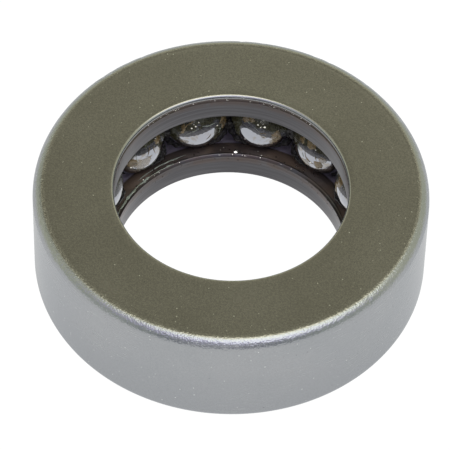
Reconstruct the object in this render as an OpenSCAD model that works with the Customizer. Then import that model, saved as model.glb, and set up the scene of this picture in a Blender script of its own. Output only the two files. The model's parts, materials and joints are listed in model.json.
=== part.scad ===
// Banded thrust ball bearing: two grooved steel washers and a full row of balls, held
// together by a drawn steel band. It stands on the lower washer, with its bore along +Z.
// The origin is on the bore's axis, in the plane of the lower washer's seat.

/* [Overall] */
// Outside diameter of the band
outer_d = 51; // [51:0.5:54]
// Bore through the band and both washers
bore_d = 30.2; // [29:0.1:30.2]
// Height from the lower washer's seat to the top of the band
height = 16; // [15.8:0.1:16.4]

/* [Band] */
// Thickness of the sheet steel
band_t = 0.7; // [0.6:0.05:0.7]
// Outside radius of the drawn corner around the top
crown_r = 1.5; // [1.4:0.1:1.8]
// Radius that rounds the top edge of the bore
bore_edge_r = 0.4; // [0.2:0.05:0.5]
// Outside radius of the lip rolled in under the lower washer
lip_r = 1.6; // [1.4:0.1:1.8]
// Flat of the lip past its bend
lip_flat = 0.5; // [0.2:0.1:0.7]
// Height of the lip above the seat
lip_rise = 0.35; // [0.2:0.05:0.5]

/* [Washers] */
// Thickness of the upper washer
upper_t = 3.6; // [3.5:0.1:3.7]
// Thickness of the lower washer
lower_t = 3.9; // [3.7:0.1:4]
// Chamfer on the edges of the washers' bores
bore_chamfer = 0.3; // [0.1:0.05:0.4]
// Chamfer on the outer edges beside the balls
rim_chamfer = 0.5; // [0.2:0.1:0.8]
// Radius of the washer's corner that seats in the band's drawn corner
seat_corner_r = 1.2; // [1:0.1:1.5]
// Groove radius as a share of the ball's diameter
groove_ratio = 0.52; // [0.515:0.005:0.54]

/* [Balls] */
// Diameter of one ball
ball_d = 9.525; // [9.4:0.025:9.525]
// Angle of the first ball around the axis, from +X
ball_phase = 22.6; // [0:0.1:27.6]

/* [Grease] */
// Radius of the grease pad between two balls on the bore side
inner_pad_r = 0.75; // [0.5:0.05:0.8]
// Length of the pad on the bore side
inner_pad_l = 5; // [3:0.5:6]
// Radius of the grease pad between two balls on the band side
outer_pad_r = 1.25; // [0.8:0.05:1.3]
// Length of the pad on the band side
outer_pad_l = 6.8; // [4:0.2:7]

/* [Clearances] */
// Radial clearance of the lower washer inside the band
run_clear = 0.08; // [0.05:0.01:0.1]
// Axial clearance between a ball and each groove
ball_clear = 0.02; // [0.01:0.01:0.03]
// Least gap between neighbouring balls
ball_gap = 0.02; // [0.01:0.01:0.02]
// Gap between the lip and the step of the lower washer
lip_clear = 0.15; // [0.1:0.05:0.2]
// Gap between a grease pad and the steel beside it
pad_clear = 0.15; // [0.1:0.05:0.2]

/* [Hidden] */
$fn = 128;

outer_r = outer_d / 2;
bore_r = bore_d / 2;
band_inner_r = outer_r - band_t;
lip_top_z = lip_rise + band_t;

// The balls run midway between the bore and the band, as many as fit side by side
pitch_r = (bore_r + band_inner_r) / 2;
ball_r = ball_d / 2;
ball_count = floor(180 / asin((ball_r + ball_gap / 2) / pitch_r));
ball_step = 360 / ball_count;

upper_top_z = height - band_t;
upper_z = upper_top_z - upper_t;
ball_z = (lower_t + upper_z) / 2;
groove_r = groove_ratio * ball_d;
groove_shift = groove_r - ball_r - ball_clear;

lower_r = band_inner_r - run_clear;
step_r = outer_r - lip_r - lip_flat - lip_clear;
step_z = lip_top_z + lip_clear;
step_bend_r = lip_r - band_t;

// A shape this much larger than what it cuts leaves no skin behind
cut = 1;

function two_digits(n) = n < 10 ? str("0", n) : str(n);
function ball_name(i) = str("ball_", two_digits(i + 1));
function ball_angle(i) = ball_phase + i * ball_step;

// A box in the half-section plane: radius along X, height along Y
module section(r0, r1, z0, z1) {
    translate([r0, z0]) square([r1 - r0, z1 - z0]);
}

// What squares off a 45 degree chamfer; out and up point away from the metal
module chamfer_cut(r, z, size, out, up) {
    polygon([[r, z - up * size], [r + out * cut, z - up * size],
             [r + out * cut, z + up * cut], [r - out * size, z + up * cut], [r - out * size, z]]);
}

// What rounds a corner of the section; out and up point away from the metal
module round_cut(r, z, size, out, up) {
    difference() {
        translate([r - out * size, z - up * size])
            mirror([out < 0 ? 1 : 0, 0]) mirror([0, up < 0 ? 1 : 0]) square(size + cut);
        translate([r - out * size, z - up * size]) circle(size);
    }
}

// One quarter of the sheet where it bends around a corner centred at (r, z)
module sheet_bend(r, z, bend_r, up) {
    intersection() {
        translate([r, z]) difference() {
            circle(bend_r);
            circle(bend_r - band_t);
        }
        section(r, r + bend_r + cut, up > 0 ? z : z - bend_r - cut, up > 0 ? z + bend_r + cut : z);
    }
}

// The drawn band: a flat top with the bore, a drawn corner, a straight wall and a rolled lip
module outer_band() {
    color([0.55, 0.55, 0.5]) rotate_extrude() difference() {
        union() {
            section(bore_r, outer_r - crown_r, upper_top_z, height);
            sheet_bend(outer_r - crown_r, height - crown_r, crown_r, 1);
            section(band_inner_r, outer_r, lip_rise + lip_r, height - crown_r);
            sheet_bend(outer_r - lip_r, lip_rise + lip_r, lip_r, -1);
            section(outer_r - lip_r - lip_flat, outer_r - lip_r, lip_rise, lip_top_z);
        }
        round_cut(bore_r, height, bore_edge_r, -1, 1);
    }
}

// The circle that cuts a washer's ball groove, seen in the half-section plane
module groove(side) {
    translate([pitch_r, ball_z + side * groove_shift]) circle(groove_r);
}

// The washer seated in the closed end of the band, groove down
module upper_washer() {
    color([0.4, 0.4, 0.42]) rotate_extrude() difference() {
        section(bore_r, band_inner_r, upper_z, upper_top_z);
        groove(-1);
        chamfer_cut(bore_r, upper_top_z, bore_chamfer, -1, 1);
        chamfer_cut(bore_r, upper_z, bore_chamfer, -1, -1);
        round_cut(band_inner_r, upper_top_z, seat_corner_r, 1, 1);
        chamfer_cut(band_inner_r, upper_z, rim_chamfer, 1, -1);
    }
}

// The turning washer, groove up, with a step around its seat that clears the rolled lip
module lower_washer() {
    color([0.42, 0.42, 0.45]) rotate_extrude() difference() {
        section(bore_r, lower_r, 0, lower_t);
        groove(1);
        chamfer_cut(bore_r, lower_t, bore_chamfer, -1, 1);
        chamfer_cut(bore_r, 0, bore_chamfer, -1, -1);
        chamfer_cut(lower_r, lower_t, rim_chamfer, 1, 1);
        section(step_r, lower_r + cut, -cut, step_z);
        round_cut(lower_r, step_z, step_bend_r, 1, -1);
    }
}

// One ball of the full row
module ball(i) {
    color([0.75, 0.76, 0.78]) rotate(ball_angle(i)) translate([pitch_r, 0, ball_z]) sphere(ball_r);
}

// An upright pad with round ends, centred at radius r on the ball row's height
module grease_pad(r, pad_r, length) {
    translate([r, 0, ball_z - length / 2 + pad_r]) {
        cylinder(h = length - 2 * pad_r, r = pad_r);
        sphere(pad_r);
        translate([0, 0, length - 2 * pad_r]) sphere(pad_r);
    }
}

// Grease carried round between the balls, one pad each side of every place where two meet
module grease() {
    color([0.6, 0.45, 0.15]) for (i = [0 : ball_count - 1]) rotate(ball_angle(i) + ball_step / 2) {
        grease_pad(bore_r + inner_pad_r + pad_clear, inner_pad_r, inner_pad_l);
        grease_pad(band_inner_r - outer_pad_r - pad_clear, outer_pad_r, outer_pad_l);
    }
}

outer_band();
upper_washer();
lower_washer();
grease();
for (i = [0 : ball_count - 1]) ball(i);
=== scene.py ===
"""Looks of the banded thrust ball bearing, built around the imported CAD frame.

Every length is in metres, in the CAD's own frame: +Z is up along the bore, and the seat of the lower
washer is at z = 0. The steel pieces are turned again from the CAD's dimensions with finer meshes, and
the grease is shaped here.
"""

import json
import math
import random

import bpy
from mathutils import Matrix, Vector, noise


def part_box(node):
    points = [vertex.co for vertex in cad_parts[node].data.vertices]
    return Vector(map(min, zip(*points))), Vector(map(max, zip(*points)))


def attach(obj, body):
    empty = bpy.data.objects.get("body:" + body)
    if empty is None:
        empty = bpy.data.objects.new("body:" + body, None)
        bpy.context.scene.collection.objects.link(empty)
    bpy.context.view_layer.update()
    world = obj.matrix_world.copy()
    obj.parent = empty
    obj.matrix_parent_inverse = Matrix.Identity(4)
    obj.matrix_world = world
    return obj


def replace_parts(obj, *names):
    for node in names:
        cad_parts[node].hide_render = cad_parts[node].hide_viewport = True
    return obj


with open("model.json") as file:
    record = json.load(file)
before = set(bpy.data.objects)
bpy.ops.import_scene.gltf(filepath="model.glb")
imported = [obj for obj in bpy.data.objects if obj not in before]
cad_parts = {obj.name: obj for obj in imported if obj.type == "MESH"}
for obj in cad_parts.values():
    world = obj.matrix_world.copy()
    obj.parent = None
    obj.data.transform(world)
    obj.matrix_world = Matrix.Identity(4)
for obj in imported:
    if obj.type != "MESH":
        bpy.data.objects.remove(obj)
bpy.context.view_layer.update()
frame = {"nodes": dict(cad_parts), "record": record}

MM = 0.001

# --- Dimensions, from the frame ------------------------------------------------------------------

MOUNTS = {mount["name"]: mount for mount in frame["record"]["mounts"]}
BORE_R = MOUNTS["shaft_bore"]["dims"]["r_mm"] * MM
OUTER_R = MOUNTS["housing_fit"]["dims"]["r_mm"] * MM
BAND_LOW, BAND_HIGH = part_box("outer_band")
UPPER_LOW, UPPER_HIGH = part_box("upper_washer")
LOWER_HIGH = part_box("lower_washer")[1]
HEIGHT = BAND_HIGH.z
BAND_T = HEIGHT - UPPER_HIGH.z
BAND_INNER_R = OUTER_R - BAND_T
LIP_Z = BAND_LOW.z
UPPER_Z = UPPER_LOW.z
LOWER_T = LOWER_HIGH.z
LOWER_R = LOWER_HIGH.x

BALLS = sorted(name for name in frame["nodes"] if name.startswith("ball_"))
BALL_BOXES = [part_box(name) for name in BALLS]
BALL_CENTRES = [(low + high) / 2 for low, high in BALL_BOXES]
BALL_R = (BALL_BOXES[0][1].z - BALL_BOXES[0][0].z) / 2
BALL_Z = BALL_CENTRES[0].z
PITCH_R = BALL_CENTRES[0].xy.length

# The CAD's own edge sizes, which a bounding box can't tell
CROWN_R = 1.5 * MM
BORE_EDGE_R = 0.4 * MM
LIP_R = 1.6 * MM
LIP_FLAT = 0.5 * MM
BORE_CHAMFER = 0.3 * MM
RIM_CHAMFER = 0.5 * MM
SEAT_CORNER_R = 1.2 * MM
LIP_CLEAR = 0.15 * MM
GROOVE_R = 0.52 * 2 * BALL_R
BALL_CLEAR = 0.02 * MM

# How far the model here rounds the CAD's sharp edges
SHARP_R = 0.06 * MM
SOFT_R = 0.25 * MM

# Steps around the bore's axis
BAND_SEGMENTS = 720
WASHER_SEGMENTS = 360
BEAD_SEGMENTS = 900

ROOT, LOWER, ROW = "band_assembly", "lower_washer", "ball_row"

# --- Node helpers --------------------------------------------------------------------------------


def add(tree, kind, inputs=None, **settings):
    """A node with its settings, and its inputs each linked to a socket or set to a value."""
    made = tree.nodes.new("ShaderNode" + kind)
    for name, value in settings.items():
        setattr(made, name, value)
    for name, value in (inputs or {}).items():
        if isinstance(value, bpy.types.NodeSocket):
            tree.links.new(value, made.inputs[name])
        else:
            made.inputs[name].default_value = value
    return made


def math_node(tree, operation, a, b=0.0, c=0.0):
    return add(tree, "Math", {0: a, 1: b, 2: c}, operation=operation).outputs[0]


def ramp(tree, value, low, high, smooth=True):
    """0 below low, 1 above high, and a soft step between. low may be the greater."""
    kind = "SMOOTHSTEP" if smooth else "LINEAR"
    flip = low > high
    inputs = {"Value": value, "From Min": min(low, high), "From Max": max(low, high),
              "To Min": float(flip), "To Max": float(not flip)}
    return add(tree, "MapRange", inputs, interpolation_type=kind).outputs[0]


def blend_colour(tree, factor, a, b, mode="MIX"):
    mixed = add(tree, "Mix", data_type="RGBA", blend_type=mode)
    for socket, value in (("Factor_Float", factor), ("A_Color", a), ("B_Color", b)):
        found = next(s for s in mixed.inputs if s.identifier == socket)
        if isinstance(value, bpy.types.NodeSocket):
            tree.links.new(value, found)
        else:
            found.default_value = value
    return next(s for s in mixed.outputs if s.identifier == "Result_Color")


def rgb(red, green, blue):
    return (red, green, blue, 1.0)


def object_place(tree):
    return add(tree, "TexCoord").outputs["Object"]


def from_axis(tree, x, y):
    """The distance from the bore's axis."""
    squares = [math_node(tree, "MULTIPLY", side, side) for side in (x, y)]
    return math_node(tree, "SQRT", math_node(tree, "ADD", *squares))


def stretched(tree, place, size, turn=(0, 0, 0)):
    """Turns the axes, then measures along each of them in units of size."""
    inputs = {"Vector": place, "Rotation": turn, "Scale": size}
    return add(tree, "Mapping", inputs, vector_type="TEXTURE").outputs[0]


def noise_value(tree, place, scale, detail=3.0, rough=0.55, warp=0.0):
    inputs = {"Vector": place, "Scale": scale, "Detail": detail, "Roughness": rough, "Distortion": warp}
    return add(tree, "TexNoise", inputs).outputs["Fac"]


def scratches(tree, place, size, turn, fewest, most):
    """Fine scratches in one direction, in broken lengths, only where a slow noise is high enough."""
    lines = noise_value(tree, stretched(tree, place, size, turn), 1.0, 1.0, 0.3)
    where = noise_value(tree, place, 0.22 / max(size), 1.0, 0.5)
    return math_node(tree, "MULTIPLY", ramp(tree, lines, 0.68, 0.78), ramp(tree, where, fewest, most))


def specks(tree, place, spacing, size, share):
    """Separate round specks of uneven strength, on a share of the cells of a random grid."""
    cells = add(tree, "TexVoronoi", {"Vector": place, "Scale": 1 / spacing}, feature="F1")
    dot = ramp(tree, cells.outputs["Distance"], size / spacing, 0.4 * size / spacing)
    pick = add(tree, "SeparateColor", {0: cells.outputs["Color"]})
    chosen = ramp(tree, pick.outputs[0], 1 - share, 1.0, smooth=False)
    return math_node(tree, "MULTIPLY", dot, chosen)


def bump(tree, height, distance, strength=1.0, below=None):
    inputs = {"Height": height, "Distance": distance, "Strength": strength}
    if below is not None:
        inputs["Normal"] = below
    return add(tree, "Bump", inputs).outputs[0]


def new_material(name):
    made = bpy.data.materials.new(name)
    made.use_nodes = True
    made.node_tree.nodes.clear()
    return made, made.node_tree


def finish_material(tree, inputs, **settings):
    shader = add(tree, "BsdfPrincipled", inputs, **settings)
    add(tree, "OutputMaterial", {"Surface": shader.outputs[0]})


# --- Materials -----------------------------------------------------------------------------------


def band_steel():
    """Satin drawn sheet: a fine grain, orange peel on the drawn corner, light scratches and specks."""
    material, tree = new_material("band_steel")
    place = object_place(tree)
    x, y, z = add(tree, "SeparateXYZ", {0: place}).outputs
    radius = from_axis(tree, x, y)
    crown = math_node(tree, "MULTIPLY", ramp(tree, radius, OUTER_R - 1.7 * MM, OUTER_R - 1.2 * MM),
                      ramp(tree, z, HEIGHT - 1.8 * MM, HEIGHT - 1.2 * MM))
    top = ramp(tree, z, HEIGHT - 0.1 * MM, HEIGHT - 0.02 * MM)
    side = ramp(tree, radius, OUTER_R - 0.1 * MM, OUTER_R - 0.02 * MM)
    bore_wall = math_node(tree, "MULTIPLY", ramp(tree, z, HEIGHT - 0.36 * MM, HEIGHT - 0.50 * MM),
                          ramp(tree, radius, BORE_R + 0.4 * MM, BORE_R + 0.2 * MM))

    cloud = noise_value(tree, place, 90.0, 3.0, 0.6)
    grain = noise_value(tree, place, 4200.0, 2.0, 0.7)
    drawn = noise_value(tree, stretched(tree, place, (4.0 * MM, 4.0 * MM, 0.35 * MM)), 1.0, 3.0, 0.6)
    peel = noise_value(tree, place, 4300.0, 1.0, 0.6)
    cuts = None
    for angle, length, low, high in ((0.42, 4.5 * MM, 0.50, 0.60), (-0.30, 3.2 * MM, 0.56, 0.64),
                                     (0.75, 3.0 * MM, 0.58, 0.64), (2.1, 2.6 * MM, 0.60, 0.66)):
        line = scratches(tree, place, (length, 0.06 * MM, 1.0), (0, 0, angle), low, high)
        cuts = line if cuts is None else math_node(tree, "MAXIMUM", cuts, line)
    scuffs = scratches(tree, place, (3.0 * MM, 3.0 * MM, 0.06 * MM), (0, 0, 0), 0.52, 0.62)
    marks = math_node(tree, "MAXIMUM", math_node(tree, "MULTIPLY", cuts, top),
                      math_node(tree, "MULTIPLY", scuffs, side))
    dots = specks(tree, place, 0.8 * MM, 0.09 * MM, 0.8)
    pits = specks(tree, stretched(tree, place, (1, 1, 1), (1.0, 0.5, 0.2)), 1.3 * MM, 0.12 * MM, 0.35)

    # A little darker towards the lip: painted shade, for the dimmer floor near the object mirrored low on
    # the side
    clouded = ramp(tree, cloud, 0.3, 0.7)
    clean = blend_colour(tree, clouded, rgb(0.340, 0.354, 0.366), rgb(0.366, 0.376, 0.386))
    shaded_lower_part = ramp(tree, z, 0.7 * HEIGHT, 0.1 * HEIGHT, smooth=False)
    steel = blend_colour(tree, shaded_lower_part, clean, rgb(0.318, 0.330, 0.343))
    # The top is painted warmer than the side: a painted reflection of the warm room behind it, not oil
    painted_warm_top = blend_colour(tree, top, steel, rgb(0.378, 0.362, 0.330))
    stained = blend_colour(tree, bore_wall, painted_warm_top, rgb(0.11, 0.095, 0.085))
    flecks = math_node(tree, "MULTIPLY", ramp(tree, grain, 0.66, 0.34),
                       math_node(tree, "MULTIPLY_ADD", top, 0.7, 0.3))
    mottled = blend_colour(tree, flecks, stained, rgb(0.78, 0.78, 0.78), "MULTIPLY")
    marked = blend_colour(tree, math_node(tree, "MULTIPLY", marks, 0.40), mottled, rgb(0.75, 0.76, 0.72))
    dotted = blend_colour(tree, math_node(tree, "MULTIPLY", dots, 0.85), marked, rgb(0.85, 0.86, 0.82))
    colour = blend_colour(tree, pits, dotted, rgb(0.13, 0.13, 0.14))

    rough = math_node(tree, "MULTIPLY_ADD", cloud, 0.08, 0.22)
    rough = math_node(tree, "MULTIPLY_ADD", marks, 0.12, rough)
    fine = bump(tree, math_node(tree, "MULTIPLY", grain, top), 0.0014 * MM, 0.6)
    lines = bump(tree, drawn, 0.0050 * MM, 0.5, fine)
    cut = bump(tree, math_node(tree, "MAXIMUM", marks, dots), -0.010 * MM, 0.7, lines)
    corner = bump(tree, math_node(tree, "MULTIPLY", peel, crown), 0.060 * MM, 1.0, cut)
    finish_material(tree, {"Base Color": colour, "Metallic": 1.0, "Roughness": rough, "Normal": corner,
                           "Specular Tint": rgb(0.82, 0.83, 0.84)})
    return material


def washer_steel():
    """Turned steel with rings from the tool. Brown residue and oil lie towards the balls, and the groove is
    painted paler as painted light.
    """
    material, tree = new_material("washer_steel")
    place = object_place(tree)
    x, y, z = add(tree, "SeparateXYZ", {0: place}).outputs
    radius = from_axis(tree, x, y)
    turned = noise_value(tree, stretched(tree, place, (14 * MM, 14 * MM, 0.30 * MM)), 1.0, 3.0, 0.75)
    bands = noise_value(tree, stretched(tree, place, (40 * MM, 40 * MM, 0.9 * MM)), 1.0, 2.0, 0.6)
    patches = noise_value(tree, place, 420.0, 4.0, 0.6, 0.3)
    grain = noise_value(tree, place, 6000.0, 2.0, 0.6)
    # A film lies on everything beside the balls, and residue gathers on the edges of the bore
    beside_balls = math_node(tree, "MULTIPLY", ramp(tree, radius, BORE_R + 0.40 * MM, BORE_R + 0.55 * MM),
                             ramp(tree, z, 1.6 * MM, 2.2 * MM))
    under_band = ramp(tree, z, UPPER_HIGH.z - 1.5 * MM, UPPER_HIGH.z - 0.5 * MM)
    lower_edge = math_node(tree, "MULTIPLY", ramp(tree, z, LOWER_T - 1.6 * MM, LOWER_T - 0.9 * MM),
                           ramp(tree, z, BALL_Z, BALL_Z - 1.0 * MM))
    stain = math_node(tree, "MULTIPLY", math_node(tree, "MAXIMUM", under_band, lower_edge),
                      ramp(tree, patches, 0.28, 0.62))
    banded = ramp(tree, bands, 0.35, 0.65)
    steel = blend_colour(tree, banded, rgb(0.095, 0.094, 0.100), rgb(0.122, 0.121, 0.128))
    ringed = blend_colour(tree, ramp(tree, turned, 0.62, 0.38), steel, rgb(0.075, 0.073, 0.078))
    stained = blend_colour(tree, math_node(tree, "MULTIPLY", stain, 0.75), ringed, rgb(0.092, 0.070, 0.061))
    upper_chamfer = ramp(tree, z, UPPER_HIGH.z - 0.42 * MM, UPPER_HIGH.z - 0.30 * MM)
    stained = blend_colour(tree, upper_chamfer, stained, rgb(0.080, 0.066, 0.056))
    film = math_node(tree, "MULTIPLY", beside_balls, ramp(tree, patches, 0.15, 0.5))
    thick = noise_value(tree, stretched(tree, place, (6 * MM, 6 * MM, 1.2 * MM)), 1.0, 3.0, 0.6, 0.8)
    thickened = ramp(tree, thick, 0.38, 0.62)
    oil = blend_colour(tree, thickened, rgb(0.075, 0.058, 0.050), rgb(0.135, 0.098, 0.072))
    # The groove is much paler than the land beside it: painted light, for the light that reaches the groove
    # between the balls
    groove = math_node(tree, "MULTIPLY", beside_balls,
                       ramp(tree, z, LOWER_T - 0.05 * MM, LOWER_T - 0.30 * MM))
    groove_painted_light = blend_colour(tree, groove, oil, rgb(0.52, 0.47, 0.56))
    colour = blend_colour(tree, film, stained, groove_painted_light)
    rough = math_node(tree, "MULTIPLY_ADD", turned, 0.12, 0.24)
    fine = bump(tree, grain, 0.0020 * MM, 0.6)
    rings = bump(tree, turned, 0.012 * MM, 0.8, fine)
    sticky = bump(tree, math_node(tree, "MULTIPLY", patches, stain), 0.05 * MM, 0.7, rings)
    metal = math_node(tree, "MULTIPLY_ADD", film, -0.75, 1.0)
    finish_material(tree, {"Base Color": colour, "Metallic": metal, "Roughness": rough, "Normal": sticky})
    return material


def ball_steel():
    """Mirror-finished ball with a thin, uneven film of grease that bends its reflections."""
    material, tree = new_material("ball_steel")
    place = object_place(tree)
    film = noise_value(tree, place, 520.0, 4.0, 0.55, 0.6)
    fine = noise_value(tree, place, 2600.0, 3.0, 0.6, 0.4)
    smear = ramp(tree, film, 0.52, 0.66)
    thin_smear = math_node(tree, "MULTIPLY", smear, 0.45)
    colour = blend_colour(tree, thin_smear, rgb(0.372, 0.384, 0.418), rgb(0.26, 0.20, 0.10))
    rough = math_node(tree, "MULTIPLY_ADD", smear, 0.14, 0.05)
    wavy = bump(tree, film, 0.05 * MM, 0.35)
    bumps = bump(tree, math_node(tree, "MULTIPLY", fine, smear), 0.02 * MM, 0.5, wavy)
    finish_material(tree, {"Base Color": colour, "Metallic": 1.0, "Roughness": rough, "Normal": bumps})
    return material


def grease(name, thin, thick, alpha, gloss=0.7):
    """Oily grease with a rippled surface, also used to paint shade and highlights. A cloudy noise picks
    between the thin and the thick colour.
    """
    material, tree = new_material(name)
    place = object_place(tree)
    cloud = noise_value(tree, place, 900.0, 3.0, 0.6, 0.5)
    ripple = noise_value(tree, place, 2200.0, 3.0, 0.6, 0.3)
    colour = blend_colour(tree, ramp(tree, cloud, 0.35, 0.65), thin, thick)
    surface = bump(tree, ripple, 0.05 * MM, 0.6)
    finish_material(tree, {"Base Color": colour, "Roughness": 0.16, "IOR": 1.48, "Alpha": alpha,
                           "Normal": surface, "Specular IOR Level": gloss})
    return material


def wet_fleck():
    """A wet fleck of swarf in the grease, as bright as what it mirrors."""
    material, tree = new_material("wet_fleck")
    place = object_place(tree)
    cloud = noise_value(tree, place, 3000.0, 2.0, 0.6)
    colour = blend_colour(tree, cloud, rgb(0.95, 0.93, 0.84), rgb(0.80, 0.78, 0.70))
    rough = math_node(tree, "MULTIPLY_ADD", cloud, 0.15, 0.10)
    finish_material(tree, {"Base Color": colour, "Metallic": 1.0, "Roughness": rough})
    return material


def floor_paint():
    """A white, softly glowing table, so that no shadow shows on it."""
    material, tree = new_material("floor_white")
    place = object_place(tree)
    mottle = noise_value(tree, place, 4.0, 2.0, 0.5)
    colour = blend_colour(tree, mottle, rgb(0.03, 0.03, 0.03), rgb(0.04, 0.04, 0.04))
    finish_material(tree, {"Base Color": colour, "Roughness": 0.9, "Emission Color": rgb(1, 1, 1),
                           "Emission Strength": 1.0, "Specular IOR Level": 0.0})
    return material


# --- Mesh helpers --------------------------------------------------------------------------------


def mesh_object(name, points, faces, material, body, slot):
    mesh = bpy.data.meshes.new(name)
    mesh.from_pydata([tuple(p) for p in points], [], faces)
    mesh.validate()
    mesh.shade_smooth()
    mesh.materials.append(material)
    made = bpy.data.objects.new(name, mesh)
    bpy.context.collection.objects.link(made)
    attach(made, body)
    return made


def arc(centre, radius, start, end, steps):
    """Points on a circle in the half-section plane, from one angle to another in degrees."""
    turns = [math.radians(start + (end - start) * i / steps) for i in range(steps + 1)]
    return [(centre[0] + radius * math.cos(t), centre[1] + radius * math.sin(t)) for t in turns]


def rounded(corners, steps_per_degree=0.12):
    """A closed outline from (radius, height, fillet) corners. A fillet of 0 keeps the point as it is."""
    outline = []
    for i, (r, z, fillet) in enumerate(corners):
        here = Vector((r, z))
        if fillet == 0:
            outline.append(here)
            continue
        back = Vector(corners[i - 1][:2]) - here
        ahead = Vector(corners[(i + 1) % len(corners)][:2]) - here
        half = back.angle(ahead) / 2
        reach = fillet / math.tan(half)
        middle = here + (back.normalized() + ahead.normalized()).normalized() * fillet / math.sin(half)
        first, last = here + back.normalized() * reach - middle, here + ahead.normalized() * reach - middle
        sweep = first.angle_signed(last)
        steps = max(3, math.ceil(math.degrees(abs(sweep)) * steps_per_degree))
        for k in range(steps + 1):
            outline.append(middle + Matrix.Rotation(-sweep * k / steps, 2) @ first)
    return outline


def split_long(outline, longest):
    """The same outline with points added along its straight stretches."""
    result = []
    for i, here in enumerate(outline):
        ahead = outline[(i + 1) % len(outline)]
        pieces = max(1, math.ceil((Vector(ahead) - Vector(here)).length / longest))
        result += [Vector(here).lerp(Vector(ahead), k / pieces) for k in range(pieces)]
    return result


def turned_ring(name, outline, segments, material, body, slot, shape=None):
    """Turns a closed outline, listed anticlockwise in (radius, height), around the bore's axis."""
    count = len(outline)
    points = []
    for s in range(segments):
        angle = 2 * math.pi * s / segments
        for r, z in outline:
            point = Vector((r * math.cos(angle), r * math.sin(angle), z))
            points.append(shape(point) if shape else point)
    faces = []
    for s in range(segments):
        near, far = s * count, (s + 1) % segments * count
        for k in range(count):
            ahead = (k + 1) % count
            faces.append((near + k, far + k, far + ahead, near + ahead))
    return mesh_object(name, points, faces, material, body, slot)


# --- Steel pieces --------------------------------------------------------------------------------


def band_outline():
    lip_inner_r = OUTER_R - LIP_R - LIP_FLAT
    lip_top = LIP_Z + BAND_T
    return rounded([
        (BORE_R, HEIGHT, BORE_EDGE_R),
        (BORE_R, HEIGHT - BAND_T, SHARP_R),
        (BAND_INNER_R, HEIGHT - BAND_T, CROWN_R - BAND_T),
        (BAND_INNER_R, lip_top, LIP_R - BAND_T),
        (lip_inner_r, lip_top, SHARP_R),
        (lip_inner_r, LIP_Z, SHARP_R),
        (OUTER_R, LIP_Z, LIP_R),
        (OUTER_R, HEIGHT, CROWN_R),
    ])


def groove_points(land_z, side):
    """The ball groove from its outer edge to its inner edge. side is 1 for the groove under the balls."""
    centre = (PITCH_R, BALL_Z + side * (GROOVE_R - BALL_R - BALL_CLEAR))
    half = math.degrees(math.acos(abs(centre[1] - land_z) / GROOVE_R))
    middle = -90 * side
    return [(r, z, 0) for r, z in arc(centre, GROOVE_R, middle + half * side, middle - half * side, 40)]


def upper_outline():
    top = UPPER_HIGH.z
    corners = [
        (BORE_R, UPPER_Z + BORE_CHAMFER, SHARP_R),
        (BORE_R + BORE_CHAMFER, UPPER_Z, SHARP_R),
        *reversed(groove_points(UPPER_Z, -1)),
        (BAND_INNER_R - RIM_CHAMFER, UPPER_Z, SHARP_R),
        (BAND_INNER_R, UPPER_Z + RIM_CHAMFER, SHARP_R),
        (BAND_INNER_R, top, SEAT_CORNER_R),
        (BORE_R + BORE_CHAMFER, top, SHARP_R),
        (BORE_R, top - BORE_CHAMFER, SHARP_R),
    ]
    return rounded(corners)


def lower_outline():
    step_r = OUTER_R - LIP_R - LIP_FLAT - LIP_CLEAR
    step_z = LIP_Z + BAND_T + LIP_CLEAR
    corners = [
        (BORE_R + BORE_CHAMFER, 0, SHARP_R),
        (step_r, 0, SHARP_R),
        (step_r, step_z, SHARP_R),
        (LOWER_R, step_z, LIP_R - BAND_T),
        (LOWER_R, LOWER_T - RIM_CHAMFER, SHARP_R),
        (LOWER_R - RIM_CHAMFER, LOWER_T, SHARP_R),
        *groove_points(LOWER_T, 1),
        (BORE_R + BORE_CHAMFER, LOWER_T, SOFT_R),
        (BORE_R, LOWER_T - BORE_CHAMFER, SHARP_R),
        (BORE_R, BORE_CHAMFER, SHARP_R),
    ]
    return rounded(corners)


def worn_corner(dents):
    """Moves a point of the band inward where a dent sits on its drawn corner."""
    deepest = []
    for angle, low, reach, depth in dents:
        outward = Vector((math.cos(angle), math.sin(angle), 0))
        deepest.append((outward * (OUTER_R - 0.45 * MM) + Vector((0, 0, HEIGHT - low)), reach, depth))

    def shape(point):
        for place, reach, depth in deepest:
            gap = (point - place).length
            if gap < reach:
                inward = Vector((point.x, point.y, 0)).normalized() + Vector((0, 0, 1))
                point = point - inward.normalized() * depth * (1 - (gap / reach) ** 2) ** 2
        return point

    return shape


def band_dents():
    """Small knocks around the drawn corner: angle, distance below the top, reach and depth."""
    rng = random.Random(7)
    return [(rng.uniform(0, 2 * math.pi), rng.uniform(0.2, 0.9) * MM, rng.uniform(0.35, 0.8) * MM,
             rng.uniform(0.02, 0.07) * MM) for _ in range(46)]


def quad_sphere(cuts):
    """Unit directions and quads of a cube blown up into a sphere, so that no face is a sliver."""
    points, faces, index = [], [], {}

    def vertex(direction):
        key = tuple(round(c, 6) for c in direction)
        if key not in index:
            index[key] = len(points)
            points.append(direction)
        return index[key]

    for axis in range(3):
        for side in (-1, 1):
            grid = []
            for i in range(cuts + 1):
                row = []
                for j in range(cuts + 1):
                    u, v = (math.tan((k / cuts - 0.5) * math.pi / 2) for k in (i, j))
                    spot = [0.0, 0.0, 0.0]
                    spot[axis], spot[(axis + 1) % 3], spot[(axis + 2) % 3] = side, u, v * side
                    row.append(vertex(Vector(spot).normalized()))
                grid.append(row)
            for i in range(cuts):
                for j in range(cuts):
                    faces.append((grid[i][j], grid[i + 1][j], grid[i + 1][j + 1], grid[i][j + 1]))
    return points, faces


def bearing_balls(material):
    """The full row. Each ball rides on its own body and stands for its own CAD node."""
    directions, faces = quad_sphere(28)
    for name, centre in zip(BALLS, BALL_CENTRES):
        points = [centre + direction * BALL_R for direction in directions]
        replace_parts(mesh_object(name + "_polished", points, faces, material, name, "ball_steel"), name)


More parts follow.
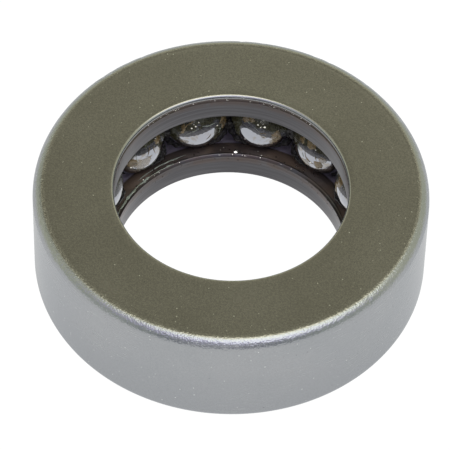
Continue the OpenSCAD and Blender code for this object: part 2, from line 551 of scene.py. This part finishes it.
# --- Grease --------------------------------------------------------------------------------------


def lump(points, faces, directions, quads, shape):
    """Adds one closed blob whose skin lies where shape puts each unit direction."""
    start = len(points)
    points += [shape(direction) for direction in directions]
    faces += [tuple(start + k for k in quad) for quad in quads]


def out_of_balls(point, near, gap):
    """Pushes a point that lies in a ball out to its skin."""
    for centre in near:
        offset = point - centre
        if offset.length < BALL_R + gap:
            point = centre + offset.normalized() * (BALL_R + gap)
    return point


def between_balls(name, material, shift, size):
    """A lump of grease where each two balls meet.

    In mm, shift is how far outward of the ball circle it lies, and size is its half-lengths outward,
    sideways and up.
    """
    points, faces = [], []
    directions, quads = quad_sphere(14)
    skin = 0.015 * MM
    for i, centre in enumerate(BALL_CENTRES):
        ahead = BALL_CENTRES[(i + 1) % len(BALL_CENTRES)]
        middle = (centre + ahead) / 2
        outward = Vector((middle.x, middle.y, 0)).normalized()
        sideways = Vector((-outward.y, outward.x, 0))
        rng = random.Random(100 + i)
        heart = middle + outward * shift * MM + Vector((0, 0, rng.uniform(-0.4, 0.5) * MM))
        seed = rng.random() * 50

        def shape(d):
            swell = 1 + 0.45 * noise.noise(d * 1.6 + Vector((seed, 0, 0)))
            reach = outward * d.x * size[0] + sideways * d.y * size[1] + Vector((0, 0, d.z * size[2]))
            spot = heart + reach * swell * MM
            flat = spot.xy.length
            held = min(max(flat, BORE_R + 0.2 * MM), BAND_INNER_R - 0.1 * MM)
            spot = Vector((spot.x * held / flat, spot.y * held / flat, spot.z))
            return out_of_balls(spot, (centre, ahead), skin)

        lump(points, faces, directions, quads, shape)
    return mesh_object(name, points, faces, material, ROW, "grease")


def toward(azimuth, elevation):
    """The unit direction at an azimuth from -Y towards +X and an elevation, in degrees."""
    a, e = math.radians(azimuth), math.radians(elevation)
    return Vector((math.sin(a) * math.cos(e), -math.cos(a) * math.cos(e), math.sin(e)))


def smear(points, faces, centre, azimuth, elevation, wide, tall, thick, seed,
          tilt=0.0, power=1.0, ragged=1.0):
    """A thin cushion on a ball, of grease and also of painted shade, with a ragged edge. wide and tall are
    its reach in degrees.

    tilt turns it, in degrees, so that its right end rises. A power under 1 squares off its outline, and
    its spokes then crowd towards the axes, so that no face is wide enough to cut into the ball.
    """
    rings, spokes = 12, 56
    direction = toward(azimuth, elevation)
    level = Vector((0, 0, 1)).cross(direction).normalized()
    rise = direction.cross(level)
    turn = math.radians(tilt)
    side = level * math.cos(turn) + rise * math.sin(turn)
    over = rise * math.cos(turn) - level * math.sin(turn)
    start = len(points)

    def skin(ring, spoke, layer):
        quarter, part = divmod(4 * spoke / spokes, 1)
        eased = part * part * (3 - 2 * part) if power < 1 else part
        angle = (quarter + eased) * math.pi / 2
        around = Vector((math.cos(angle), math.sin(angle), 0))
        wobble = 1 + 0.35 * ragged * noise.noise(around * 1.3 + Vector((0, 0, seed)))
        wobble += 0.35 * ragged * noise.noise(around * 3.5 + Vector((0, 9, seed)))
        reach = wobble * ring / rings
        across = math.copysign(abs(around.x) ** power, around.x)
        along = math.copysign(abs(around.y) ** power, around.y)
        out = (direction + side * math.tan(math.radians(wide * reach)) * across
               + over * math.tan(math.radians(tall * reach)) * along).normalized()
        swell = thick * math.sqrt(max(0.0, 1 - (ring / rings) ** 2))
        swell *= 0.6 + 0.9 * abs(noise.noise(out * 6 + Vector((0, seed, 0))))
        return centre + out * (BALL_R + (swell if layer else -0.01 * MM))

    for layer in (1, 0):
        points.append(skin(0, 0, layer))
        points += [skin(r, s, layer) for r in range(1, rings + 1) for s in range(spokes)]
    size = 1 + rings * spokes
    for layer, base in ((1, start), (0, start + size)):
        for s in range(spokes):
            ahead = (s + 1) % spokes
            first = (base, base + 1 + s, base + 1 + ahead)
            faces.append(first if layer else first[::-1])
            for r in range(rings - 1):
                a, b = base + 1 + r * spokes, base + 1 + (r + 1) * spokes
                quad = (a + s, b + s, b + ahead, a + ahead)
                faces.append(quad if layer else quad[::-1])
    edge_top, edge_low = start + size - spokes, start + 2 * size - spokes
    for s in range(spokes):
        ahead = (s + 1) % spokes
        faces.append((edge_top + s, edge_low + s, edge_low + ahead, edge_top + ahead))


def ridge(points, faces, centre, route, thick):
    """A raised line over a ball, of grease, painted shade and painted highlight alike, through (azimuth,
    elevation) places, fading at both ends.
    """
    steps, sides = 8, 6
    spots = [toward(*place) for place in route]
    path = [spots[i].slerp(spots[i + 1], k / steps) for i in range(len(spots) - 1) for k in range(steps)]
    path.append(spots[-1])
    start = len(points)
    for i, out in enumerate(path):
        along = (path[min(i + 1, len(path) - 1)] - path[max(i - 1, 0)]).normalized()
        side = out.cross(along)
        size = thick * (0.15 + math.sin(math.pi * i / (len(path) - 1))) * (1 + 0.5 * noise.noise(out * 12))
        for k in range(sides):
            turn = 2 * math.pi * k / sides
            height = BALL_R + size * (0.3 + math.cos(turn))
            points.append(centre + out * height + side * size * math.sin(turn))
    for i in range(len(path) - 1):
        near, far = start + i * sides, start + (i + 1) * sides
        for k in range(sides):
            ahead = (k + 1) % sides
            faces.append((near + k, near + ahead, far + ahead, far + k))
    faces.append(tuple(reversed(range(start, start + sides))))
    faces.append(tuple(range(far, far + sides)))


# Grease, and grey films of painted shade, on the balls seen at the back of the bore, by ball number. A
# place is an azimuth and an elevation.
# Places, reaches and tilts are in degrees. Films: place, reach across and up, and tilt
# The grey films are painted shade, for the shaded floor mirrored low in each ball
SHADE_FILMS = {
    4: (8, 25, 52, 17, 11),
    3: (-4, 26, 52, 17, -23),
    2: (-30, 26, 42, 14, -6),
    5: (42, 33, 42, 13, 0),
}
OLIVE_FILMS = {
    4: (6, 35, 52, 19, 14),
    3: (-5, 37, 50, 18, -23),
    2: (-32, 36, 50, 16, -4),
    5: (40, 40, 48, 15, 0),
}
# Patches: place, reach across and up, and thickness in mm
TAN_PATCHES = {
    4: ((63, 10, 10, 14, 0.16), (-14, 21, 4, 8, 0.08)),
    5: ((65, 25, 9, 6, 0.16), (8, 3, 9, 9, 0.16)),
    3: ((-37, 31, 6, 6, 0.12), (-25, 34, 6, 5, 0.12), (20, 3, 7, 12, 0.16)),
    2: ((-57, 28, 6, 6, 0.12), (-35, 31, 9, 8, 0.18), (-17, -3, 7, 9, 0.16)),
}
THIN_PATCHES = {
    4: ((-12, -7, 8, 5, 0.06),),
    5: ((26, -3, 14, 14, 0.08),),
    3: ((15, -8, 8, 6, 0.06), (-37, 31, 6, 6, 0.13), (-25, 34, 6, 5, 0.13), (21, 3, 8, 12, 0.17)),
    2: ((-40, -10, 8, 8, 0.06), (-10, 10, 7, 6, 0.06)),
}
DARK_PATCHES = {
    4: ((50, -3, 12, 22, 0.03), (-30, 0, 8, 12, 0.03)),
    3: ((-50, 20, 9, 15, 0.03), (-48, 0, 6, 14, 0.03)),
    5: ((66, 22, 9, 14, 0.03),),
    2: ((-70, 22, 10, 16, 0.03),),
}
# Raised lines: thickness in mm, then the places they pass
TAN_RIDGES = {
    4: ((0.09, (-22, 0), (-18, 10), (-14, 20), (-8, 28), (2, 34), (14, 37)),
        (0.05, (24, -6), (29, -2), (33, 4))),
    5: ((0.06, (42, 28), (38, 18), (34, 10)), (0.05, (52, 24), (48, 16), (50, 6)),
        (0.05, (30, 12), (38, 7), (44, 8))),
    3: ((0.05, (-10, 17), (-4, 12), (0, 14), (6, 9)), (0.05, (-4, 6), (2, 3))),
    2: ((0.06, (-44, 16), (-40, 4), (-30, -4), (-20, -4)), (0.05, (-24, 14), (-20, 6))),
}
# The pale lines on the balls are painted highlights along the edges of the grease
HIGHLIGHT_RIDGES = {
    4: ((0.06, (16, 25), (28, 22), (40, 21), (48, 19)), (0.035, (-15, 6), (-2, 14), (8, 19), (17, 22)),
        (0.05, (44, 8), (52, 4), (50, -3), (42, -4))),
    5: ((0.05, (12, 28), (14, 18), (16, 8), (14, 0)), (0.04, (36, 34), (34, 24))),
    3: ((0.05, (-33, 28), (-24, 25)), (0.03, (-24, 25), (-14, 20), (-4, 12))),
    2: ((0.06, (-62, 14), (-54, 6)), (0.05, (-48, 8), (-44, 0))),
}
# A dark ridge along the lower flanks of every ball, the same on both sides: painted shade, standing in for
# each ball's shadow in its groove
FLANK_SHADE_RIDGE = (0.42, (26, -35), (40, -31), (54, -25), (64, -19), (72, -13))


def ball_grease(tan, olive, grey_shade, thin, pale, flank_shade):
    """Films over the upper part of each ball, grey films of painted shade below them, patches, raised lines
    of grease, pale lines of painted highlight and ridges of painted shade along the flanks. All stay with
    the row.
    """
    film, shade_haze, patches, sheen, highlight_strands, shade_heaps = (([], []) for _ in range(6))
    for i, centre in enumerate(BALL_CENTRES, start=1):
        rng = random.Random(500 + i)
        facing = math.degrees(math.atan2(-centre.x, centre.y))
        # A grey film of painted shade
        azimuth, elevation, wide, tall, tilt = SHADE_FILMS.get(i, (facing, 24, 46, 15, 0))
        smear(*shade_haze, centre, azimuth, elevation, wide, tall, 0.03 * MM, rng.random() * 90,
              tilt, power=0.6, ragged=0.2)
        azimuth, elevation, wide, tall, tilt = OLIVE_FILMS.get(i, (facing, 34, 50, 17, 0))
        smear(*film, centre, azimuth, elevation, wide, tall, 0.05 * MM, rng.random() * 90,
              tilt, power=0.6, ragged=0.4)
        for side in (-1, 1):
            smear(*film, centre, facing + side * 48, rng.uniform(21, 25), rng.uniform(12, 14),
                  rng.uniform(18, 22), 0.035 * MM, rng.random() * 90)
        chosen = TAN_PATCHES.get(i)
        if chosen is None:
            chosen = [(facing + rng.uniform(-65, 65), rng.uniform(-5, 34), rng.uniform(5, 10),
                       rng.uniform(5, 11), 0.14) for _ in range(3)]
        for azimuth, elevation, wide, tall, thick in chosen:
            smear(*patches, centre, azimuth, elevation, wide, tall, thick * MM, rng.random() * 90)
        for azimuth, elevation, wide, tall, thick in THIN_PATCHES.get(i, ()):
            smear(*sheen, centre, azimuth, elevation, wide, tall, thick * MM, rng.random() * 90)
        for azimuth, elevation, wide, tall, thick in DARK_PATCHES.get(i, ()):
            smear(*film, centre, azimuth, elevation, wide, tall, thick * MM, rng.random() * 90,
                  power=0.8, ragged=0.5)
        for thick, *route in TAN_RIDGES.get(i, ()):
            ridge(*patches, centre, route, thick * MM)
        # Painted highlights along the grease's edges
        for thick, *route in HIGHLIGHT_RIDGES.get(i, ()):
            ridge(*highlight_strands, centre, route, thick * MM)
        # Ridges of painted shade along both lower flanks
        thick, *route = FLANK_SHADE_RIDGE
        for side in (-1, 1):
            places = [(facing / 2 + side * azimuth, elevation) for azimuth, elevation in route]
            ridge(*shade_heaps, centre, places, thick * MM)
    mesh_object("grease_film", *film, olive, ROW, "grease")
    mesh_object("grease_haze", *shade_haze, grey_shade, ROW, "grease")
    mesh_object("grease_patches", *patches, tan, ROW, "grease")
    mesh_object("grease_sheen", *sheen, thin, ROW, "grease")
    mesh_object("grease_strands", *highlight_strands, pale, ROW, "grease")
    mesh_object("grease_heaps", *shade_heaps, flank_shade, ROW, "grease")


def bead_ring(name, radius, height, thick, seed, material, body, span=(0, 360), squat=1.0):
    """A bead of grease along an edge, as thick as the noise makes it, with tapered ends if it is open.

    span is its two ends in degrees, and squat is its height as a share of its width.
    """
    whole = span == (0, 360)
    first, last = math.radians(span[0]), math.radians(span[1])
    steps = max(24, int(BEAD_SEGMENTS * (last - first) / (2 * math.pi)))
    sides = 8
    points, faces = [], []
    for s in range(steps + (0 if whole else 1)):
        t = s / steps
        angle = first + (last - first) * t
        around = Vector((math.cos(angle), math.sin(angle), 0))
        wobble = noise.noise(Vector((around.x * 9, around.y * 9, seed)))
        lumps = noise.noise(Vector((around.x * 45, around.y * 45, seed + 7)))
        size = thick * max(0.12, 0.55 + 0.9 * wobble + 0.55 * lumps)
        if not whole:
            size *= max(0.05, math.sin(math.pi * t)) ** 0.5
        shift = 0.35 * thick * noise.noise(Vector((around.x * 16, around.y * 16, seed + 3)))
        for k in range(sides):
            turn = 2 * math.pi * k / sides
            out = radius + shift + size * math.cos(turn)
            points.append((around.x * out, around.y * out, height + squat * size * math.sin(turn)))
    total = len(points) // sides
    for s in range(steps):
        near, far = s * sides, (s + 1) % total * sides
        for k in range(sides):
            ahead = (k + 1) % sides
            faces.append((near + k, far + k, far + ahead, near + ahead))
    if not whole:
        faces.append(tuple(range(sides)))
        faces.append(tuple(reversed(range((total - 1) * sides, total * sides))))
    return mesh_object(name, points, faces, material, body, "grease")


def droplets(name, places, material, body, rise=0.55):
    """Small domes of grease: each place is a point, the way it faces and a radius."""
    points, faces = [], []
    directions, quads = quad_sphere(5)
    for point, normal, radius in places:
        turn = normal.to_track_quat("Z", "Y")
        lump(points, faces, directions, quads,
             lambda d: point + turn @ Vector((d.x, d.y, d.z * rise)) * radius)
    return mesh_object(name, points, faces, material, body, "grease")


def wall_drops(low, high, count, seed):
    """Drops on the bore wall between two heights."""
    rng = random.Random(seed)
    places = []
    for _ in range(count):
        angle = rng.uniform(0, 2 * math.pi)
        inward = Vector((-math.cos(angle), -math.sin(angle), 0))
        spot = -inward * BORE_R + Vector((0, 0, rng.uniform(low, high)))
        places.append((spot, inward, rng.uniform(0.04, 0.11) * MM))
    return places


def land_drops(count, seed):
    """Drops on the inner land of the lower washer."""
    rng = random.Random(seed)
    up = Vector((0, 0, 1))
    places = []
    for _ in range(count):
        angle, radius = rng.uniform(0, 2 * math.pi), rng.uniform(BORE_R + 0.35 * MM, BORE_R + 1.7 * MM)
        places.append((Vector((radius * math.cos(angle), radius * math.sin(angle), LOWER_T)), up,
                       rng.uniform(0.05, 0.16) * MM))
    return places


def glints(count, seed, span, sizes, place):
    """Wet flecks tipped towards the light, between two angles in degrees.

    place draws a radius and a height for each.
    """
    rng = random.Random(seed)
    places = []
    for _ in range(count):
        angle = math.radians(rng.uniform(*span))
        radius, height = place(rng)
        spot = Vector((radius * math.cos(angle), radius * math.sin(angle), height))
        tip = toward(rng.uniform(-5, 25), rng.uniform(58, 74))
        places.append((spot, tip, rng.uniform(*sizes) * MM))
    return places


def upper_edge(rng):
    """A place on the wall under the band's bore edge."""
    return BORE_R + 0.02 * MM, HEIGHT - 0.75 * MM + rng.uniform(-0.12, 0.12) * MM


def lower_edge(rng):
    """A place on the upper edge of the lower washer's bore."""
    return BORE_R + 0.2 * MM, LOWER_T - 0.1 * MM + rng.uniform(-0.12, 0.12) * MM


def lower_land(rng):
    """A place on the lower washer between its bore and its groove."""
    return BORE_R + rng.uniform(0.5, 2.0) * MM, LOWER_T - 0.02 * MM


# Wet flecks on the balls: azimuth, elevation and radius, by ball
BALL_GLINTS = {
    4: ((13, 32, 0.10), (7, 26, 0.14), (0, 23, 0.13), (46, 14, 0.11), (4, 29, 0.07)),
    3: ((-11, 28, 0.12), (1, 25, 0.19), (-6, 24, 0.10), (-2, 30, 0.06)),
    5: ((60, 30, 0.08), (5, -5, 0.16)),
    2: ((-24, 26, 0.07), (-30, -2, 0.10)),
}


def ball_glints():
    places = []
    for number, spots in BALL_GLINTS.items():
        for azimuth, elevation, radius in spots:
            out = toward(azimuth, elevation)
            spot = BALL_CENTRES[number - 1] + out * (BALL_R + 0.05 * MM)
            places.append((spot, toward(azimuth / 2, 8), radius * MM))
    return places


# --- Stage ---------------------------------------------------------------------------------------


def table_top(material):
    mesh = bpy.data.meshes.new("table")
    half = 60 * OUTER_R
    corners = [(-half, -half, 0), (half, -half, 0), (half, half, 0), (-half, half, 0)]
    mesh.from_pydata(corners, [], [(0, 1, 2, 3)])
    mesh.materials.append(material)
    made = bpy.data.objects.new("table", mesh)
    bpy.context.collection.objects.link(made)


def studio_dome():
    """A pale room under one soft overhead lamp: warm behind the object, cool and dimmer in front of it."""
    world = bpy.data.worlds.new("studio")
    bpy.context.scene.world = world
    world.use_nodes = True
    tree = world.node_tree
    tree.nodes.clear()
    direction = add(tree, "TexCoord").outputs["Generated"]
    x, y, z = add(tree, "SeparateXYZ", {0: direction}).outputs
    in_front = ramp(tree, y, 0.05, -0.25)
    low_front = blend_colour(tree, ramp(tree, y, -0.92, -0.68), rgb(0.22, 0.23, 0.30),
                             rgb(0.60, 0.64, 0.58))
    front = blend_colour(tree, ramp(tree, z, 0.48, 0.76), low_front, rgb(0.80, 0.75, 1.00))
    # The flat top mirrors the dim part of the room, high up at the back
    slanted = math_node(tree, "MULTIPLY_ADD", x, -0.2, z)
    lit = math_node(tree, "MAXIMUM", ramp(tree, slanted, 0.82, 0.58), ramp(tree, y, 0.50, 0.30))
    back = blend_colour(tree, lit, rgb(0.172, 0.165, 0.118), rgb(0.80, 0.81, 0.63))
    room = blend_colour(tree, in_front, back, front)
    # The lamp is a little to the right and in front, with a glow around it
    lamp_middle = Vector((0.17, -0.20, 0.97)).normalized()
    facing = add(tree, "VectorMath", {0: direction, 1: lamp_middle}, operation="DOT_PRODUCT")
    towards_lamp = facing.outputs["Value"]
    glow = blend_colour(tree, in_front, rgb(1.00, 1.10, 0.95), rgb(1.04, 0.93, 1.30))
    glowing = blend_colour(tree, ramp(tree, towards_lamp, 0.78, 0.865), room, glow)
    lamp = blend_colour(tree, ramp(tree, y, 0.20, -0.55), rgb(2.60, 2.62, 2.12), rgb(2.32, 2.34, 2.62))
    colour = blend_colour(tree, ramp(tree, towards_lamp, 0.865, 0.895), glowing, lamp)
    add(tree, "OutputWorld", {"Surface": add(tree, "Background", {"Color": colour}).outputs[0]})


LAMP_DISTANCE = 0.9


def small_lamp(name, azimuth, elevation, across, power, colour):
    """A small soft lamp that gives the grease its glints. Its azimuth counts from +Y towards +X."""
    light = bpy.data.lights.new(name, "AREA")
    light.shape = "DISK"
    light.size = across
    light.energy = power
    light.color = colour
    made = bpy.data.objects.new(name, light)
    bpy.context.collection.objects.link(made)
    a, e = math.radians(azimuth), math.radians(elevation)
    out = Vector((math.sin(a) * math.cos(e), math.cos(a) * math.cos(e), math.sin(e)))
    made.location = out * LAMP_DISTANCE
    made.rotation_mode = "QUATERNION"
    made.rotation_quaternion = out.to_track_quat("Z", "Y")


def place_camera():
    """The viewing angle of the reference view, in outside radii from the object's base centre."""
    pitch, roll = math.radians(51.53), math.radians(1.442)
    distance, shift_right, shift_up = 20.675, -0.0219, 0.1952
    forward = Vector((0, math.cos(pitch), -math.sin(pitch)))
    level, rise = Vector((1, 0, 0)), Vector((0, math.sin(pitch), math.cos(pitch)))
    right = math.cos(roll) * level + math.sin(roll) * rise
    up = -math.sin(roll) * level + math.cos(roll) * rise
    data = bpy.data.cameras.new("camera")
    data.sensor_width = 36.0
    data.lens = 321.1
    data.clip_start, data.clip_end = 0.01, 10.0
    camera = bpy.data.objects.new("camera", data)
    bpy.context.collection.objects.link(camera)
    axes = Matrix((right, up, -forward)).transposed().to_4x4()
    spot = (-forward * distance + right * shift_right + up * shift_up) * OUTER_R
    camera.matrix_world = Matrix.Translation(spot) @ axes
    bpy.context.scene.camera = camera


# --- Build ---------------------------------------------------------------------------------------

steel_band, steel_washer, steel_ball = band_steel(), washer_steel(), ball_steel()
khaki = grease("grease_khaki", rgb(0.29, 0.215, 0.11), rgb(0.15, 0.105, 0.045), 0.80)
olive = grease("grease_olive", rgb(0.085, 0.085, 0.048), rgb(0.050, 0.045, 0.022), 0.66)
# A grey film of painted shade: the shaded floor mirrored low in the balls
grey_shade = grease("grease_smoke", rgb(0.110, 0.110, 0.118), rgb(0.075, 0.076, 0.080), 0.80, 0.5)
amber = grease("grease_amber", rgb(0.50, 0.42, 0.30), rgb(0.38, 0.31, 0.20), 0.46)
mauve = grease("grease_mauve", rgb(0.19, 0.145, 0.155), rgb(0.11, 0.08, 0.085), 0.85)
# Pale grease for the streaks on the land; on the balls it is a painted highlight along the grease's edges
pale = grease("grease_pale", rgb(0.46, 0.52, 0.44), rgb(0.34, 0.38, 0.30), 0.72)
brown = grease("grease_brown", rgb(0.050, 0.036, 0.026), rgb(0.028, 0.020, 0.014), 0.92)
# Near-black painted shade: the grease where the balls meet is darkened to the shade of the gap, and the
# flank ridges are shade alone
shade_black = grease("grease_black", rgb(0.022, 0.020, 0.020), rgb(0.012, 0.011, 0.011), 0.95, 0.15)
shaded = grease("grease_shaded", rgb(0.20, 0.18, 0.21), rgb(0.14, 0.12, 0.14), 0.97, 0.2)
wet = wet_fleck()

band = turned_ring("band_sheet", split_long(band_outline(), 0.8 * MM), BAND_SEGMENTS, steel_band, ROOT,
                   "band_steel", worn_corner(band_dents()))
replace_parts(band, "outer_band")
upper = turned_ring("upper_race", split_long(upper_outline(), 1.2 * MM), WASHER_SEGMENTS, steel_washer,
                    ROOT, "washer_steel")
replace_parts(upper, "upper_washer")
lower = turned_ring("lower_race", split_long(lower_outline(), 1.2 * MM), WASHER_SEGMENTS, steel_washer,
                    LOWER, "washer_steel")
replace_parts(lower, "lower_washer")
bearing_balls(steel_ball)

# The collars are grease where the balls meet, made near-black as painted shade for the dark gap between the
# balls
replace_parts(between_balls("grease_collars", shade_black, -1.6, (0.5, 0.85, 1.2)), "grease")
between_balls("grease_plugs", shaded, 3.7, (1.3, 1.7, 2.9))
ball_grease(khaki, olive, grey_shade, amber, pale, shade_black)
bead_ring("grease_seam", BORE_R + 0.22 * MM, UPPER_HIGH.z - 0.05 * MM, 0.17 * MM, 3.0, mauve, ROOT)
upper_drops = wall_drops(UPPER_HIGH.z - 0.5 * MM, UPPER_HIGH.z + 0.2 * MM, 120, 11)
droplets("grease_drops_upper", upper_drops, mauve, ROOT)
lower_drops = wall_drops(LOWER_T - 1.4 * MM, LOWER_T - 0.4 * MM, 60, 12) + land_drops(70, 13)
droplets("grease_drops_lower", lower_drops, brown, LOWER)
bead_ring("grease_streak_long", BORE_R + 0.35 * MM, LOWER_T, 0.30 * MM, 8.0, pale, LOWER, (120, 170), 0.4)
bead_ring("grease_streak_short", BORE_R + 1.0 * MM, LOWER_T, 0.16 * MM, 5.0, pale, LOWER, (112, 140), 0.5)

droplets("grease_glints_balls", ball_glints(), wet, ROW, 0.3)
droplets("grease_glints_upper", glints(26, 21, (48, 140), (0.03, 0.08), upper_edge), wet, ROOT, 0.3)
big_fleck = (Vector((0.5 * MM, BORE_R + 0.60 * MM, LOWER_T)), toward(8, 66), 0.32 * MM)
lower_flecks = glints(14, 22, (55, 135), (0.04, 0.08), lower_edge)
lower_flecks += glints(22, 23, (60, 140), (0.04, 0.09), lower_land)
droplets("grease_glints_lower", lower_flecks + [big_fleck], wet, LOWER, 0.3)

table_top(floor_paint())
studio_dome()
small_lamp("lamp_left", -172, 19, 0.03, 0.15, (1.0, 0.98, 0.92))
small_lamp("lamp_right", 176, 22, 0.03, 0.15, (1.0, 0.98, 0.92))
place_camera()
bpy.context.scene.view_settings.view_transform = "Standard"
